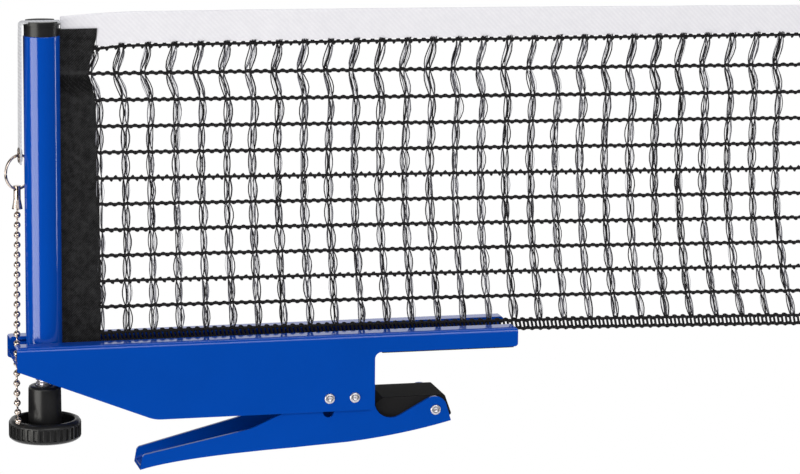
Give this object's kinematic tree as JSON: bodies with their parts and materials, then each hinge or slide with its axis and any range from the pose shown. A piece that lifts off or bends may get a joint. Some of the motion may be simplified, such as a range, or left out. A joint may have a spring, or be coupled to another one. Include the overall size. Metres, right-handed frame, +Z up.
{
  "type": "table tennis net clamp",
  "caption": "Sprung table-edge clamp with a height-adjustable slotted post that carries a table tennis net, its white tape, and a strap tensioned by a ring and bead chain.",
  "frame": {"origin": "on the table's top face under the upper jaw's liner, midway across the clamp, straight above the jaw pad's pin", "axes": "+X runs in over the table along the net, +Y to the far side of the net, +Z up"},
  "size_m": [0.3923, 0.0354, 0.2035],
  "materials": {
    "blue_enamel": "glossy blue powder coat on pressed steel",
    "zinc_steel": "zinc-plated steel",
    "spring_steel": "oiled spring wire",
    "nickel_steel": "bright nickel plate",
    "black_plastic": "satin moulded black plastic",
    "black_rubber": "matt black rubber",
    "white_plastic": "plain extruded rod",
    "black_twill": "black woven twill",
    "black_cord": "knitted black polyester cord",
    "white_tape": "white woven tape"
  },
  "bodies": {
    "bracket": {"side_plate_near": "blue_enamel", "side_plate_far": "blue_enamel", "floor_plate": "blue_enamel", "jaw_liner": "black_rubber", "post_guide": "blue_enamel", "weld_nut": "zinc_steel", "pivot_pin": "zinc_steel", "stop_pin": "zinc_steel", "pivot_bush": "black_plastic", "torsion_spring": "spring_steel", "tension_strap": "white_tape", "strap_eyelet": "nickel_steel"},
    "lever": {"lever": "blue_enamel", "jaw_pad_pin": "zinc_steel"},
    "jaw_pad": {"jaw_pad": "black_rubber"},
    "post": {"post_tube": "blue_enamel", "post_plug": "black_plastic", "post_cap": "black_plastic", "net_rod": "white_plastic", "net_sleeve": "black_twill", "netting": "black_cord", "net_band": "black_cord", "net_tape": "white_tape", "net_end_sleeve": "black_twill"},
    "knob": {"knob": "black_plastic", "height_screw": "zinc_steel"},
    "chain": {"tension_ring": "nickel_steel", "chain_connector": "nickel_steel", "bead_chain": "nickel_steel", "chain_tail": "nickel_steel"}
  },
  "joints": [
    {"name": "lever_pivot", "type": "hinge", "parent": "bracket", "child": "lever", "pos_m": [-0.0383, 0, -0.02], "axis": [0, 1, 0], "range_deg": [-8, 24], "stiffness_Nm_per_rad": 6, "deforming": ["torsion_spring"]},
    {"name": "pad_tilt", "type": "hinge", "parent": "lever", "child": "jaw_pad", "pos_m": [0, 0, -0.0279], "axis": [0, 1, 0], "range_deg": [-7, 7]},
    {"name": "post_lift", "type": "slide", "parent": "bracket", "child": "post", "axis": [0, 0, 1], "range_m": [-0.00125, 0.0025], "deforming": ["tension_strap", "chain_tail"]},
    {"name": "knob_turn", "type": "hinge", "parent": "post", "child": "knob", "pos_m": [-0.177, 0, -0.03], "axis": [0, 0, 1], "range_deg": [-360, 720]},
    {"name": "chain_release", "type": "hinge", "parent": "bracket", "child": "chain", "pos_m": [-0.18605, 0.0045, 0.0917], "axis": [0, 1, 0], "range_deg": [0, 25]}
  ],
  "couplings": [
    {"joint": "knob_turn", "follows": "post_lift", "rad_per_m": 5026.5}
  ]
}
